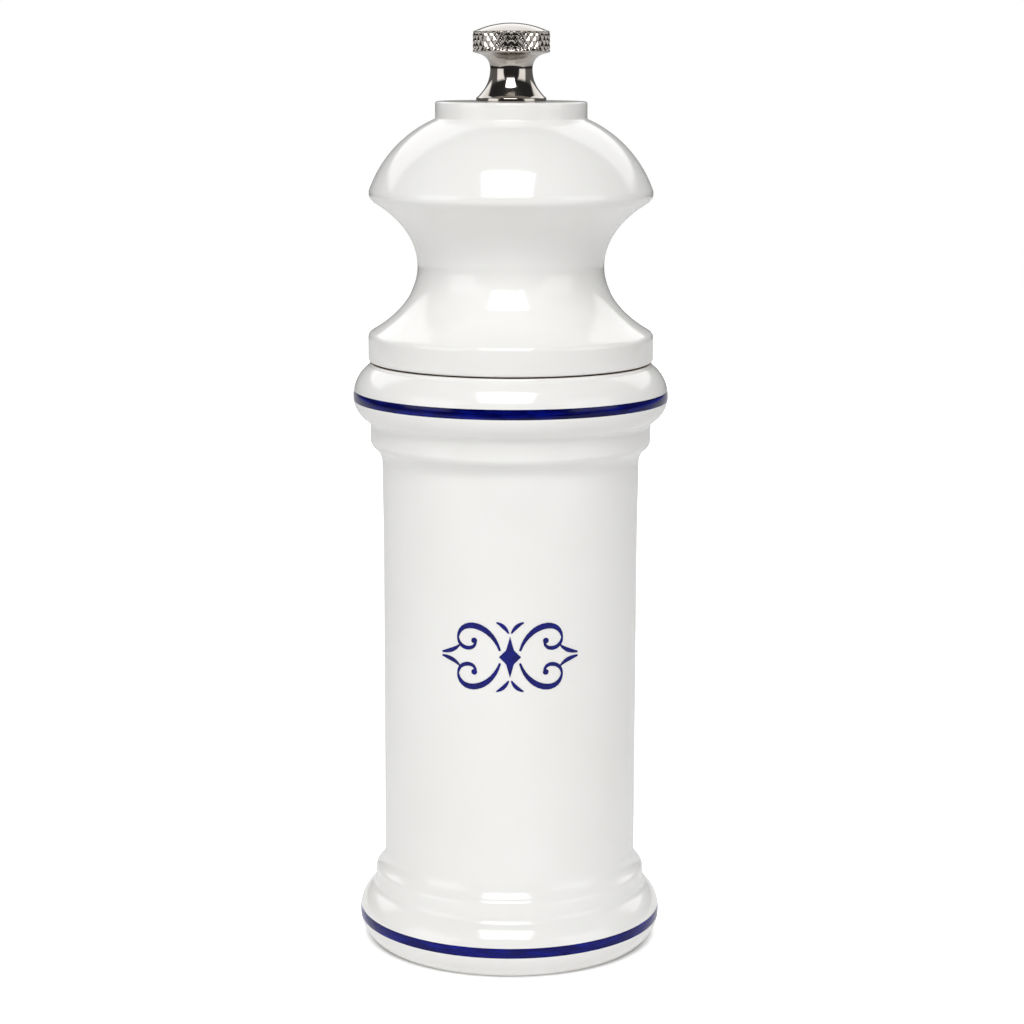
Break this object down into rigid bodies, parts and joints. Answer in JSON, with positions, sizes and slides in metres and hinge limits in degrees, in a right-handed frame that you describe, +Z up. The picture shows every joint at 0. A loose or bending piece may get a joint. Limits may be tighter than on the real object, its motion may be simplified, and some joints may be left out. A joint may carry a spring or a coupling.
{
  "type": "table mill",
  "caption": "Turned, white-lacquered salt or pepper mill with dark blue bands, a turning head over a ceramic grinder and a knurled nut that sets the grind.",
  "frame": {"origin": "centre of the base, on the surface that the mill stands on", "axes": "+Z up the grinding axis, towards the knob; -Y is the front, which carries the ornament; +X is to the right seen from the front"},
  "size_m": [0.0615, 0.0614, 0.181],
  "materials": {
    "white_lacquer": "white gloss lacquer on turned wood",
    "blue_paint": "gloss cobalt blue paint",
    "nickel": "bright nickel plate",
    "steel": "plain drawn and stamped steel",
    "spring_steel": "bright spring wire",
    "ceramic": "fired, matt white",
    "black_plastic": "moulded, matt"
  },
  "bodies": {
    "mill": {"mill_body": "white_lacquer", "shoulder_band": "blue_paint", "base_band": "blue_paint", "front_ornament": "blue_paint", "stator_housing": "black_plastic", "stator": "ceramic", "cage": "black_plastic", "bottom_bar": "steel", "bar_screws": "steel"},
    "spring_set": {"spring_washer": "steel", "spring": "spring_steel"},
    "grinder": {"shaft": "steel", "rotor_hub": "black_plastic", "rotor": "ceramic", "shaft_clip": "spring_steel"},
    "head": {"head": "white_lacquer", "drive_plate": "steel", "drive_plate_screws": "steel"},
    "knob": {"knob": "nickel"}
  },
  "joints": [
    {"name": "head_turn", "type": "hinge", "parent": "mill", "child": "spring_set", "pos_m": [0, 0, 0.11595], "axis": [0, 0, 1], "continuous": true},
    {"name": "grind_adjust", "type": "slide", "parent": "spring_set", "child": "grinder", "axis": [0, 0, 1], "range_m": [0, 0.0024], "deforming": ["spring"]},
    {"name": "head_lift", "type": "slide", "parent": "spring_set", "child": "head", "axis": [0, 0, 1], "range_m": [0, 0.08]},
    {"name": "knob_turn", "type": "hinge", "parent": "head", "child": "knob", "pos_m": [0, 0, 0.16615], "axis": [0, 0, 1], "range_deg": [-1080, 0]}
  ],
  "couplings": [
    {"joint": "knob_turn", "follows": "grind_adjust", "rad_per_m": -7854}
  ]
}
